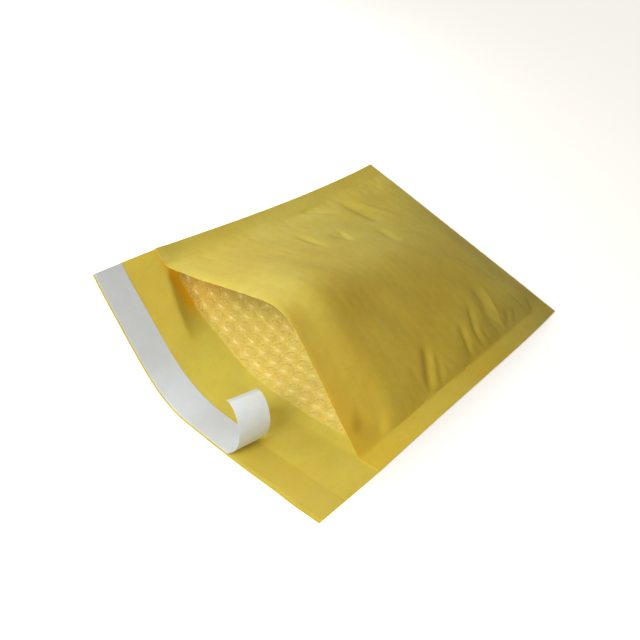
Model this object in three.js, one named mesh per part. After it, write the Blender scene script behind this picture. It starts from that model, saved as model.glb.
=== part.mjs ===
// Padded mailing envelope of yellow kraft paper with a small-bubble lining.
// It lies on its back panel with the mouth open and the flap spread out, and the release liner is half
// peeled off the flap's adhesive band. Paper and film bend without stretching, so every sheet is worked
// out from its flat cut: s is the distance across the cut from the middle, t the distance along it from
// the mouth line, negative on the flap and positive in the pocket. Millimetres, +Z up, +Y towards the
// closed end.

import * as THREE from 'three';

const { clamp, lerp, smoothstep } = THREE.MathUtils;

// Flat cut of the paper
const envelopeWidth = 240;
const pocketLength = 275;
const flapLength = 50;
const seamMargin = 14.4;
const paperThickness = 0.2;

// Hot-melt lines between the paper margins
const glueThickness = 0.15;
const glueEdgeInset = 2;
const glueInnerInset = 3;
const glueFoldInset = 4;

// Bubble film, bubbles included
const filmThickness = 3.4;
const filmMouthInset = 9.2;
const filmSeamInset = 6;

// Adhesive band and release liner on the inner face of the flap
const stripEdgeInset = 1;
const adhesiveWidth = 18;
const adhesiveThickness = 0.1;
const linerWidth = 21;
const linerThickness = 0.1;
const linerEndInset = 20.2;

// Room left between sheets that touch, and between the two padded leaves at the closed end
const sheetClearance = 0.05;
const pocketClearance = 0.8;

// How the back panel and flap are bent: a trough, with a straight wing up to each side seam
const mouthTrough = { at: -15, halfWidth: 54, farSlope: 0.423, nearSlope: 0.465 };
const flapTrough = { at: -22.8, halfWidth: 29.7, farSlope: 0.501, nearSlope: 0.488 };
const farOpening = 0.05;
const nearOpening = 1.41;
const mouthShiftX = 3.4;
const mouthSkew = -1.6;
const floorSag = 0.5;

// How the front panel is bent: a tent over the seams, its ridge rounded, its free edge drawn back
const ridge = { at: 6.4, halfWidth: 20.6 };
const frontSetback = 9.4;

// Width over which the padding swells out from the flat margins
const shoulderWidth = 25;

// Peeled end of the liner: where its outer edge lifts, how much further along its inner edge lifts, and
// its direction at the start and the end of the curl
const peelAt = 45.1;
const peelLag = 2.8;
const curlStart = 0.586;
const curlEndOuter = 3.99;
const curlEndInner = 4.1;
const curlTightening = 1.41;

// Fineness of the meshes
const crossStep = 10;
const lengthStep = 15;
const foldSteps = 8;
const curlStep = 3;
const workStepAcross = 2;
const workStepAlong = 5;

// Worked out from the sizes above
const halfWidth = envelopeWidth / 2;
const innerHalf = halfWidth - seamMargin;
const seamSpacing = paperThickness + glueThickness + 2 * sheetClearance;
const filmOffset = paperThickness / 2 + sheetClearance;
const paddedHalf = filmOffset + filmThickness + pocketClearance;
const filmShare = filmThickness / (paddedHalf - filmOffset);
const swell = paddedHalf - seamSpacing / 2;

/** Stations through the fixed ones, with no gap between neighbours longer than the step. */
function stations(fixed, step) {
  const sorted = [...fixed].sort((a, b) => a - b);
  const list = [sorted[0]];
  for (const next of sorted.slice(1)) {
    const last = list[list.length - 1];
    const count = Math.ceil((next - last) / step);
    for (let k = 1; k <= count; k++) {
      list.push(lerp(last, next, k / count));
    }
  }
  return list;
}

/** Place of a value between the entries of a rising list, as a fractional index. */
function placeIn(list, value) {
  const last = list.length - 1;
  const found = list.findIndex((entry) => entry >= value);
  if (found === 0) {
    return 0;
  }
  if (found < 0) {
    return last;
  }
  return found - 1 + (value - list[found - 1]) / (list[found] - list[found - 1]);
}

/** Value of a function sampled at whole indices, at a fractional one. */
function sample(values, place) {
  const i = Math.min(Math.floor(place), values.length - 2);
  return lerp(values[i], values[i + 1], place - i);
}

/** Share of the padding's full thickness at a distance s from the middle: none on the margins. */
const paddedShare = (s) => smoothstep(innerHalf - Math.abs(s), 0, shoulderWidth);

/** Half the thickness of the closed envelope, which is the radius of the fold at the closed end. */
const foldRadius = (s) => seamSpacing / 2 + swell * paddedShare(s);

/** Length of a panel up to the fold, for one fold radius. */
const panelLength = (s) => pocketLength - (Math.PI / 2) * foldRadius(s);

/** Line laid out from the origin with the given heading, an angle above the x axis, at each station. */
function trace(across, headings) {
  const x = [0];
  const z = [0];
  for (let i = 1; i < across.length; i++) {
    const length = across[i] - across[i - 1];
    const heading = (headings[i] + headings[i - 1]) / 2;
    x.push(x[i - 1] + Math.cos(heading) * length);
    z.push(z[i - 1] + Math.sin(heading) * length);
  }
  return { x, z };
}

/** Share of a bend that has been turned at s, from 0 before it to 1 after it. */
const turned = (s, bend) => smoothstep(s, bend.at - bend.halfWidth, bend.at + bend.halfWidth);

/**
 * Share of a wing's slope at the mouth that is left where the pocket is open to the given share.
 * With an opening of 1 it grows evenly from the closed end, below 1 it grows mostly near the mouth.
 */
const slopeLeft = (open, opening) => open * lerp(open, 1, opening);

/** Trough at a distance t along the sheet: it changes along the flap, and flattens in the pocket. */
function troughAt(t) {
  if (t < 0) {
    const share = -t / flapLength;
    const mixed = {};
    for (const key of Object.keys(mouthTrough)) {
      mixed[key] = lerp(mouthTrough[key], flapTrough[key], share);
    }
    return mixed;
  }
  const open = 1 - t / pocketLength;
  return {
    ...mouthTrough,
    farSlope: mouthTrough.farSlope * slopeLeft(open, farOpening),
    nearSlope: mouthTrough.nearSlope * slopeLeft(open, nearOpening),
  };
}

/** Cross-section of the back panel or flap at t, with its lowest line on the ground. */
function backSection(across, t) {
  const trough = troughAt(t);
  const open = 1 - t / pocketLength;
  const closed = clamp(t / pocketLength, 0, 1);
  const slopes = across.map((s) => lerp(-trough.farSlope, trough.nearSlope, turned(s, trough)));
  const { x, z } = trace(across, slopes);
  const shift = mouthTrough.at + mouthShiftX * open - sample(x, placeIn(across, mouthTrough.at));
  const lowest = Math.min(...z) + floorSag * closed;
  return across.map((s, i) => ({
    s,
    slope: slopes[i],
    x: x[i] + shift,
    z: Math.max(z[i] - lowest, 0) + swell * closed * (1 - paddedShare(s)),
  }));
}

/** Turn of a line of the given length, bent at the ridge, whose ends are a chord apart. */
function ridgeTurn(across, chord) {
  let low = 0;
  let high = Math.PI * 0.8;
  for (let k = 0; k < 40; k++) {
    const turn = (low + high) / 2;
    const { x, z } = trace(across, across.map((s) => -turn * turned(s, ridge)));
    if (Math.hypot(x[x.length - 1], z[z.length - 1]) > chord) {
      low = turn;
    } else {
      high = turn;
    }
  }
  return low;
}

/** Cross-section of the front panel: over the back one on the margins, and between them a tent. */
function frontSection(back, t) {
  const closed = clamp(t / pocketLength, 0, 1);
  const margin = back.map((p) => ({
    s: p.s,
    x: p.x - Math.sin(p.slope) * seamSpacing,
    z: p.z + Math.cos(p.slope) * seamSpacing,
  }));
  const first = back.findIndex((p) => p.s >= -innerHalf);
  const last = back.length - 1 - first;
  const span = back.slice(first, last + 1).map((p) => p.s);
  const from = margin[first];
  const to = margin[last];
  const turn = ridgeTurn(span, Math.hypot(to.x - from.x, to.z - from.z));
  const { x, z } = trace(span, span.map((s) => -turn * turned(s, ridge)));
  const end = span.length - 1;
  const lift = Math.atan2(to.z - from.z, to.x - from.x) - Math.atan2(z[end], x[end]);
  return margin.map((p, i) => {
    const k = i - first;
    if (k < 0 || k > end) {
      return p;
    }
    return {
      s: p.s,
      x: from.x + x[k] * Math.cos(lift) - z[k] * Math.sin(lift),
      z: from.z + x[k] * Math.sin(lift) + z[k] * Math.cos(lift) + swell * closed * paddedShare(p.s),
    };
  });
}

/** Gives each section its y, so that distances along the sheet stay as they were cut. */
function spreadAlong(sections, along) {
  const last = along.length - 1;
  for (const p of sections[last]) {
    p.y = panelLength(p.s);
  }
  for (let j = last - 1; j >= 0; j--) {
    sections[j].forEach((p, i) => {
      const next = sections[j + 1][i];
      const stretch = along[j] < 0 ? 1 : panelLength(p.s) / pocketLength;
      const step = (along[j + 1] - along[j]) * stretch;
      const run = step ** 2 - (next.x - p.x) ** 2 - (next.z - p.z) ** 2;
      p.y = next.y - Math.sqrt(Math.max(run, 0));
    });
  }
}

/** Point of a section at a fractional index. */
function pointIn(section, place) {
  const i = Math.min(Math.floor(place), section.length - 2);
  const [from, to] = [section[i], section[i + 1]].map((p) => new THREE.Vector3(p.x, p.y, p.z));
  return from.lerp(to, place - i);
}

/** A bent sheet: points on its middle surface, read from sections worked out on a fine lattice. */
class Leaf {
  constructor(across, along, sections) {
    this.across = across;
    this.along = along;
    this.sections = sections;
  }

  /** Point of the middle surface at (s, t). */
  at(s, t) {
    const i = placeIn(this.across, s);
    const j = placeIn(this.along, t);
    const row = Math.min(Math.floor(j), this.along.length - 2);
    return pointIn(this.sections[row], i).lerp(pointIn(this.sections[row + 1], i), j - row);
  }
}

/** Back leaf, from the flap's free edge to the closed end. */
function makeBackLeaf() {
  const across = stations([-halfWidth, -innerHalf, innerHalf, halfWidth], workStepAcross);
  const along = stations([-flapLength, 0, pocketLength], workStepAlong);
  const sections = along.map((t) => backSection(across, t));
  spreadAlong(sections, along);
  sections.forEach((row, j) => {
    const open = 1 - along[j] / pocketLength;
    for (const p of row) {
      p.y += mouthSkew * (p.s / halfWidth) * open;
    }
  });
  return new Leaf(across, along, sections);
}

/** Front leaf, from the mouth to the closed end, joined to the back leaf along the margins. */
function makeFrontLeaf(back) {
  const first = back.along.indexOf(0);
  const along = back.along.slice(first);
  const beneath = back.sections.slice(first);
  const sections = along.map((t, j) => frontSection(beneath[j], t));
  spreadAlong(sections, along);
  sections.forEach((row, j) => {
    const open = 1 - along[j] / pocketLength;
    const start = row.findIndex((p) => p.s >= -innerHalf);
    const end = row.length - 1 - start;
    const farGap = beneath[j][start].y - row[start].y;
    const nearGap = beneath[j][end].y - row[end].y;
    row.forEach((p, i) => {
      const share = (i - start) / (end - start);
      if (i <= start || i >= end) {
        p.y = beneath[j][i].y;
      } else {
        p.y += lerp(farGap, nearGap, share) + frontSetback * Math.sin(Math.PI * share) * open;
      }
    });
  });
  return new Leaf(back.across, along, sections);
}

/** Unit direction from one point to another. */
const unitVector = (from, to) => to.clone().sub(from).normalize();

/** Normals of a grid of points, each from the mean directions along its row and its column. */
function gridNormals(grid) {
  const mean = (before, here, after) => {
    const sum = new THREE.Vector3();
    if (before) {
      sum.add(unitVector(before, here));
    }
    if (after) {
      sum.add(unitVector(here, after));
    }
    return sum.normalize();
  };
  return grid.map((row, j) => row.map((point, i) => {
    const across = mean(row[i - 1], point, row[i + 1]);
    const along = mean(grid[j - 1]?.[i], point, grid[j + 1]?.[i]);
    return across.cross(along).normalize();
  }));
}

/** Grid moved along its normals. The distance is one number or a function of row and column. */
function offsetGrid(grid, normals, distance) {
  const at = typeof distance === 'function' ? distance : () => distance;
  const moved = (point, j, i) => point.clone().addScaledVector(normals[j][i], at(j, i));
  return grid.map((row, j) => row.map((point, i) => moved(point, j, i)));
}

/**
 * Closed solid between two grids of the same size, the second one on the side of the normals.
 * From the row given, the cells are split along their other diagonal, so that the folded-over leaf has
 * the same triangles as the one beneath it.
 */
function sheetSolid(lower, upper, otherDiagonalFrom = Infinity) {
  const rows = lower.length;
  const columns = lower[0].length;
  const positions = [...lower.flat(), ...upper.flat()].flatMap((p) => p.toArray());
  const indices = [];
  const low = (j, i) => j * columns + i;
  const high = (j, i) => rows * columns + low(j, i);
  const quad = (a, b, c, d) => indices.push(a, b, c, a, c, d);
  for (let j = 0; j < rows - 1; j++) {
    for (let i = 0; i < columns - 1; i++) {
      if (j < otherDiagonalFrom) {
        quad(high(j, i), high(j, i + 1), high(j + 1, i + 1), high(j + 1, i));
        quad(low(j, i), low(j + 1, i), low(j + 1, i + 1), low(j, i + 1));
      } else {
        quad(high(j, i + 1), high(j + 1, i + 1), high(j + 1, i), high(j, i));
        quad(low(j, i + 1), low(j, i), low(j + 1, i), low(j + 1, i + 1));
      }
    }
    quad(low(j, 0), high(j, 0), high(j + 1, 0), low(j + 1, 0));
    quad(low(j, columns - 1), low(j + 1, columns - 1), high(j + 1, columns - 1), high(j, columns - 1));
  }
  for (let i = 0; i < columns - 1; i++) {
    quad(low(0, i), low(0, i + 1), high(0, i + 1), high(0, i));
    quad(low(rows - 1, i), high(rows - 1, i), high(rows - 1, i + 1), low(rows - 1, i + 1));
  }
  const geometry = new THREE.BufferGeometry();
  geometry.setAttribute('position', new THREE.Float32BufferAttribute(positions, 3));
  geometry.setIndex(indices);
  geometry.computeVertexNormals();
  return geometry;
}

/** Rows and columns of a grid from one index to another, both included. */
function patch(grid, rowFrom, rowTo, from, to) {
  return grid.slice(rowFrom, rowTo + 1).map((row) => row.slice(from, to + 1));
}

const backLeaf = makeBackLeaf();
const frontLeaf = makeFrontLeaf(backLeaf);

// Shared columns: each sheet ends on one of them, so that sheets that lie on each other stay parallel
const filmHalf = innerHalf - filmSeamInset;
const glueOuter = halfWidth - glueEdgeInset;
const glueInner = innerHalf + glueInnerInset;
const columnEdges = [glueOuter, glueInner, innerHalf, filmHalf, innerHalf - shoulderWidth];
const columns = stations(
  [-halfWidth, ...columnEdges.map((s) => -s), peelAt, ...columnEdges, halfWidth],
  crossStep,
);
const column = (s) => columns.indexOf(s);

// Shared rows: along the flap and the back panel, round the fold, and back along the front panel
const stripOuter = -flapLength + stripEdgeInset;
const stripInner = stripOuter + linerWidth;
const adhesiveInset = (linerWidth - adhesiveWidth) / 2;
const adhesiveOuter = stripOuter + adhesiveInset;
const adhesiveInner = stripInner - adhesiveInset;
const glueEnd = pocketLength - glueFoldInset;
const panelRows = stations([0, filmMouthInset, glueEnd, pocketLength], lengthStep);
const flapEdges = [-flapLength, stripOuter, adhesiveOuter, adhesiveInner, stripInner, 0];
const backRows = [...stations(flapEdges, lengthStep).slice(0, -1), ...panelRows];
const frontRows = [...panelRows].reverse();
const backRow = (t) => backRows.indexOf(t);

/** Point on the fold at the closed end, at an angle from the back leaf (0) to the front leaf (pi). */
function foldPoint(s, angle) {
  const back = backLeaf.at(s, pocketLength);
  const centre = back.clone().add(frontLeaf.at(s, pocketLength)).multiplyScalar(0.5);
  const radius = centre.z - back.z;
  return new THREE.Vector3(
    centre.x,
    centre.y + radius * Math.sin(angle),
    centre.z - radius * Math.cos(angle),
  );
}

const foldAngles = Array.from({ length: foldSteps - 1 }, (_, k) => (Math.PI * (k + 1)) / foldSteps);
const sheet = [
  ...backRows.map((t) => columns.map((s) => backLeaf.at(s, t))),
  ...foldAngles.map((angle) => columns.map((s) => foldPoint(s, angle))),
  ...frontRows.map((t) => columns.map((s) => frontLeaf.at(s, t))),
];
const sheetNormals = gridNormals(sheet);
const lastRow = sheet.length - 1;
const lastColumn = columns.length - 1;
const foldMiddle = lastRow - panelRows.length - Math.floor(foldSteps / 2) + 1;

/** The kraft paper: flap, back panel, fold, front panel and side margins in one folded sheet. */
function makeOuterPaper() {
  const outside = offsetGrid(sheet, sheetNormals, -paperThickness / 2);
  const inside = offsetGrid(sheet, sheetNormals, paperThickness / 2);
  return sheetSolid(outside, inside, foldMiddle);
}

/** The bubble film, folded with the paper. It thins out where the seams press it flat. */
function makeBubbleLining() {
  const rowFrom = backRow(filmMouthInset);
  const from = column(-filmHalf);
  const to = column(filmHalf);
  const rowTo = lastRow - panelRows.indexOf(filmMouthInset);
  const grid = patch(sheet, rowFrom, rowTo, from, to);
  const normals = patch(sheetNormals, rowFrom, rowTo, from, to);
  const thickness = (i) => (foldRadius(columns[from + i]) - filmOffset) * filmShare;
  return sheetSolid(
    offsetGrid(grid, normals, filmOffset),
    offsetGrid(grid, normals, (j, i) => filmOffset + thickness(i)),
    foldMiddle - rowFrom,
  );
}

/** Hot-melt line between the margins, from the mouth nearly to the fold. side is -1 far, 1 near. */
function makeSeamGlue(side) {
  const ends = [column(side * glueInner), column(side * glueOuter)].sort((a, b) => a - b);
  const rowFrom = backRow(0);
  const rowTo = backRow(glueEnd);
  const grid = patch(sheet, rowFrom, rowTo, ...ends);
  const normals = patch(sheetNormals, rowFrom, rowTo, ...ends);
  const lower = offsetGrid(grid, normals, filmOffset);
  const upper = offsetGrid(grid, normals, filmOffset + glueThickness);
  return sheetSolid(lower, upper);
}

/** Clear adhesive band across the flap. */
function makeFlapAdhesive() {
  const rows = [backRow(adhesiveOuter), backRow(adhesiveInner)];
  const grid = patch(sheet, ...rows, 0, lastColumn);
  const normals = patch(sheetNormals, ...rows, 0, lastColumn);
  const lower = offsetGrid(grid, normals, filmOffset);
  const upper = offsetGrid(grid, normals, filmOffset + adhesiveThickness);
  return sheetSolid(lower, upper);
}

/** Release liner: flat on the band up to the peel line, then a free end that curls back over itself. */
function makeReleaseLiner() {
  const rows = [backRow(stripOuter), backRow(stripInner)];
  const flat = patch(sheet, ...rows, 0, column(peelAt));
  const flatNormals = patch(sheetNormals, ...rows, 0, column(peelAt));
  const height = filmOffset + adhesiveThickness + sheetClearance + linerThickness / 2;
  const stuck = offsetGrid(flat, flatNormals, height);
  const width = stripInner - stripOuter;
  const lean = Math.atan2(peelLag, width);
  const freeLength = halfWidth - linerEndInset - peelAt;
  const reach = freeLength * Math.cos(lean);
  const shares = stations([0, 1], curlStep / freeLength);
  const whole = stuck.map((row, j) => {
    const share = (backRows[rows[0] + j] - stripOuter) / width;
    const curlEnd = lerp(curlEndOuter, curlEndInner, share);
    const lag = peelLag * share;
    const free = shares.map((k) => k * (freeLength - lag));
    const rolled = free.map((d) => d * Math.cos(lean));
    const headings = rolled.map((d) => lerp(curlStart, curlEnd, (d / reach) ** curlTightening));
    const curve = trace(rolled, headings);
    const forward = unitVector(row[row.length - 2], row[row.length - 1]);
    const up = flatNormals[j][row.length - 1];
    const inward = up.clone().cross(forward);
    const along = forward.clone().multiplyScalar(Math.sin(lean)).addScaledVector(inward, Math.cos(lean));
    const ahead = forward.clone().multiplyScalar(Math.cos(lean)).addScaledVector(inward, -Math.sin(lean));
    const lift = row[row.length - 1].clone().addScaledVector(forward, lag);
    const curl = free.map((d, k) => lift.clone()
      .addScaledVector(along, d * Math.sin(lean))
      .addScaledVector(ahead, curve.x[k])
      .addScaledVector(up, curve.z[k]));
    return [...row.slice(0, -1), ...curl];
  });
  const normals = gridNormals(whole);
  const half = linerThickness / 2;
  return sheetSolid(offsetGrid(whole, normals, -half), offsetGrid(whole, normals, half));
}

/** Non-metal surface of one colour. */
const finish = (color, roughness) => new THREE.MeshStandardMaterial({ color, roughness, metalness: 0 });

const kraft = finish(0xc8b050, 0.75);
const film = finish(0xead9a8, 0.25);
const hotMelt = finish(0xe6d9a0, 0.4);
const clearTack = finish(0xd8c878, 0.15);
const siliconePaper = finish(0xe2e4e4, 0.5);

const pieces = [
  ['outer_paper', makeOuterPaper(), kraft],
  ['bubble_lining', makeBubbleLining(), film],
  ['seam_glue_far', makeSeamGlue(-1), hotMelt],
  ['seam_glue_near', makeSeamGlue(1), hotMelt],
  ['flap_adhesive', makeFlapAdhesive(), clearTack],
  ['release_liner', makeReleaseLiner(), siliconePaper],
];

const envelope = new THREE.Group();
for (const [name, geometry, material] of pieces) {
  const mesh = new THREE.Mesh(geometry, material);
  mesh.name = name;
  envelope.add(mesh);
}

// The origin is the middle of the underside of the envelope's box
const box = new THREE.Box3().setFromObject(envelope, true);
const boxMiddle = box.getCenter(new THREE.Vector3());
envelope.position.set(-boxMiddle.x, -boxMiddle.y, -box.min.z);
envelope.updateMatrixWorld(true);

export default envelope;
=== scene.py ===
"""Looks of a padded mailing envelope, made round its packed construction model.

The envelope lies on its back panel with the mouth open and the flap spread out. Paper and film are
worked out from their flat cut, as they are in the construction model: s is the distance across the cut
from the middle, and v the distance along it, from the mouth line over the back panel, round the fold at
the closed end and back along the front panel. On the flap v is negative. On either panel t is the
distance from the mouth. Lengths are in millimetres, and become metres when a mesh, lamp or camera is made.
"""

from __future__ import annotations

import logging
import math
from collections.abc import Iterable
from dataclasses import dataclass, field
from enum import Enum

import bpy
import numpy as np
from mathutils import Matrix, Vector

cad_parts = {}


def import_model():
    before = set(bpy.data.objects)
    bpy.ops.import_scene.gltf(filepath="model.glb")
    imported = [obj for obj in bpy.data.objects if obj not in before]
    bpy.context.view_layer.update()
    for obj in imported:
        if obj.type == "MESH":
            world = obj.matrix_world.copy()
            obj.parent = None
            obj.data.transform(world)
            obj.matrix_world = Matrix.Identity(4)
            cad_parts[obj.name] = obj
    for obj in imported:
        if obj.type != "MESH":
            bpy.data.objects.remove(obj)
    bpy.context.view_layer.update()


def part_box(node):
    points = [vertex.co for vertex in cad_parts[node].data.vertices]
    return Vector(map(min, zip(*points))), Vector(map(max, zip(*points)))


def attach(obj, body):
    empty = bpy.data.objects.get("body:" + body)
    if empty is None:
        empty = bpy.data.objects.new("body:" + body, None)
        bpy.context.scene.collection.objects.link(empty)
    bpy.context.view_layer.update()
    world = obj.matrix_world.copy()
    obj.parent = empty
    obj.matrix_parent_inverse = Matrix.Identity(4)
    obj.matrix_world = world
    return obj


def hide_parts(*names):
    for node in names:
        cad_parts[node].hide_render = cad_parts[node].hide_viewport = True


LOG = logging.getLogger("padded_envelope")
MM = 0.001
ROUNDING = 1e-6
FLAT_MAP = "flat_cut"

# Sockets of the Mix node when it mixes colours
MIX_SHARE, MIX_A, MIX_B = 0, 6, 7
MIX_RESULT = 2

Array = np.ndarray
Value = Array | float
Range = tuple[float, float]
Tree = bpy.types.NodeTree
Node = bpy.types.Node
Object = bpy.types.Object
Draw = np.random.Generator
Inputs = dict[str | int, object]


def linear(hex_colour: str) -> tuple[float, float, float, float]:
    """Turns an sRGB hex colour into a linear one.

    Args:
        hex_colour: Six hexadecimal digits after a hash.

    Returns:
        Linear red, green and blue, and an alpha of 1.
    """
    digits = hex_colour.lstrip("#")
    channels = [int(digits[i : i + 2], 16) / 255 for i in (0, 2, 4)]
    red, green, blue = (c / 12.92 if c <= 0.04045 else ((c + 0.055) / 1.055) ** 2.4 for c in channels)
    return red, green, blue, 1.0


def smoothstep(value: Value, low: Value, high: Value) -> Array:
    """Returns 0 below low, 1 above high and a smooth rise between them."""
    share = np.clip((np.asarray(value, float) - low) / (high - low), 0, 1)
    return share * share * (3 - 2 * share)


def lerp(first: Value, second: Value, share: Value) -> Array:
    """Returns the value that lies at a share of the way from the first to the second."""
    return first + (np.asarray(second) - first) * share


def stations(fixed: Iterable[float], step: float) -> Array:
    """Spaces the rows or columns of a grid.

    Args:
        fixed: Places that have to be among them, with both ends.
        step: Furthest that two neighbours may be apart.

    Returns:
        The fixed places and evenly spaced ones between them.
    """
    edges = sorted(fixed)
    parts = [np.linspace(a, b, math.ceil((b - a) / step) + 1)[1:] for a, b in zip(edges, edges[1:])]
    return np.concatenate([edges[:1], *parts])


def trace(along: Array, headings: Array) -> tuple[Array, Array]:
    """Lays a line out from the origin with the given headings.

    Args:
        along: Distances along the line.
        headings: Angle above the x axis at each distance, in the last axis of the array.

    Returns:
        The x and z of each station.
    """
    heading = (headings[..., 1:] + headings[..., :-1]) / 2
    length = np.diff(along, axis=-1)
    start = np.zeros((*headings.shape[:-1], 1))
    x = np.concatenate([start, np.cumsum(np.cos(heading) * length, axis=-1)], axis=-1)
    z = np.concatenate([start, np.cumsum(np.sin(heading) * length, axis=-1)], axis=-1)
    return x, z


def unit(vectors: Array) -> Array:
    """Returns the vectors at a length of 1."""
    return vectors / np.linalg.norm(vectors, axis=-1, keepdims=True)


def grid_normals(points: Array) -> Array:
    """Returns the normals of a grid of points, from its columns and rows."""
    return unit(np.cross(np.gradient(points, axis=1), np.gradient(points, axis=0)))


@dataclass(frozen=True)
class Trough:
    """Cross-section of the back panel or flap: a rounded trough with a straight wing to each side.

    Attributes:
        at: Flat place of the trough's middle.
        half_width: Half the width over which it turns.
        far_slope: Slope of the wing up to the far seam, in radians.
        near_slope: Slope of the wing up to the near seam, in radians.
    """

    at: Value
    half_width: Value
    far_slope: Value
    near_slope: Value


@dataclass(frozen=True)
class FlatCut:
    """Sizes of the paper and film before they are folded."""

    envelope_width: float = 240.0
    pocket_length: float = 275.0
    flap_length: float = 50.0
    seam_margin: float = 14.4
    paper_thickness: float = 0.2
    glue_thickness: float = 0.15
    film_thickness: float = 3.4
    film_mouth_inset: float = 9.2
    film_seam_inset: float = 6.0
    sheet_clearance: float = 0.05
    pocket_clearance: float = 0.8
    shoulder_width: float = 25.0

    @property
    def half_width(self) -> float:
        """Half the width of the envelope."""
        return self.envelope_width / 2

    @property
    def inner_half(self) -> float:
        """Distance from the middle to a seam margin."""
        return self.half_width - self.seam_margin

    @property
    def seam_spacing(self) -> float:
        """Distance between the middles of the two paper margins."""
        return self.paper_thickness + self.glue_thickness + 2 * self.sheet_clearance

    @property
    def film_offset(self) -> float:
        """Distance from the middle of the paper to the film on it."""
        return self.paper_thickness / 2 + self.sheet_clearance

    @property
    def swell(self) -> float:
        """Rise of a padded panel above its margins at the closed end."""
        return self.film_offset + self.film_thickness + self.pocket_clearance - self.seam_spacing / 2

    @property
    def fold_length(self) -> float:
        """Length of the fold at the closed end, where the envelope is thickest."""
        return math.pi * (self.swell + self.seam_spacing / 2)

    @property
    def whole_length(self) -> float:
        """Length of the pocket's paper from the mouth line round to the front panel's free edge."""
        return 2 * self.pocket_length + self.fold_length

    def padded_share(self, s: Array) -> Array:
        """Returns the share of the padding's full thickness at each s: none on the margins."""
        return smoothstep(self.inner_half - np.abs(s), 0, self.shoulder_width)

    def panel_length(self, s: Array) -> Array:
        """Returns the length of a panel up to the fold at each s."""
        radius = self.seam_spacing / 2 + self.swell * self.padded_share(s)
        return self.pocket_length - math.pi / 2 * radius

    def front(self, t: Value) -> Value:
        """Returns the v of a place on the front panel from its t, or its t from its v."""
        return self.whole_length - t


@dataclass(frozen=True)
class Bend:
    """How the open envelope is bent.

    Attributes:
        mouth: Trough at the mouth line.
        flap: Trough at the flap's free edge.
        far_opening: How the far wing flattens towards the closed end: 1 evenly, 0 fast at first.
        near_opening: The same for the near wing.
        mouth_shift_x: How far the mouth lies to the near side of the closed end.
        mouth_skew: How far the near seam lies ahead of the middle at the mouth.
        floor_sag: How much of the trough presses flat on the floor at the closed end.
        ridge_at: Flat place of the front panel's ridge.
        ridge_half_width: Half the width over which the ridge turns.
        front_setback: How far back the middle of the front panel's free edge is drawn.
    """

    mouth: Trough = Trough(-15.0, 54.0, 0.423, 0.465)
    flap: Trough = Trough(-22.8, 29.7, 0.501, 0.488)
    far_opening: float = 0.05
    near_opening: float = 1.41
    mouth_shift_x: float = 3.4
    mouth_skew: float = -1.6
    floor_sag: float = 0.5
    ridge_at: float = 6.4
    ridge_half_width: float = 20.6
    front_setback: float = 9.4


class CreaseForm(Enum):
    """How a crease looks across its line."""

    SOFT = "soft"
    CRISP = "crisp"


@dataclass(frozen=True)
class Crease:
    """A crease, dent or ridge in the paper.

    Attributes:
        start: Flat place (s, t) of one end.
        end: Flat place (s, t) of the other end.
        height: Height outwards from the pocket, negative for a groove.
        width: Distance from its line at which it has mostly faded.
        form: Rounded or sharp across the line.
        left_width: How many times wider it is on the left of its line than on the right.
        end_fade: Shares of its length between which it fades in, from either end.
    """

    start: Range
    end: Range
    height: float
    width: float
    form: CreaseForm = CreaseForm.SOFT
    left_width: float = 1.0
    end_fade: Range = (-0.1, 0.3)

    def raise_paper(self, s: Array, t: Array) -> Array:
        """Works out the crease's height over the flat cut.

        Args:
            s: Distances across the cut.
            t: Distances along the panel, from the mouth.

        Returns:
            Height outwards at each place.
        """
        run_s, run_t = self.end[0] - self.start[0], self.end[1] - self.start[1]
        length = math.hypot(run_s, run_t)
        off_s, off_t = s - self.start[0], t - self.start[1]
        share = (off_s * run_s + off_t * run_t) / length**2
        beside = (off_s * run_t - off_t * run_s) / length
        beside = np.where(beside < 0, -beside / self.left_width, beside) / self.width
        faded = self.height * smoothstep(share, *self.end_fade) * smoothstep(1 - share, *self.end_fade)
        return faded * np.exp(-beside if self.form is CreaseForm.CRISP else -(beside**2))


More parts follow.
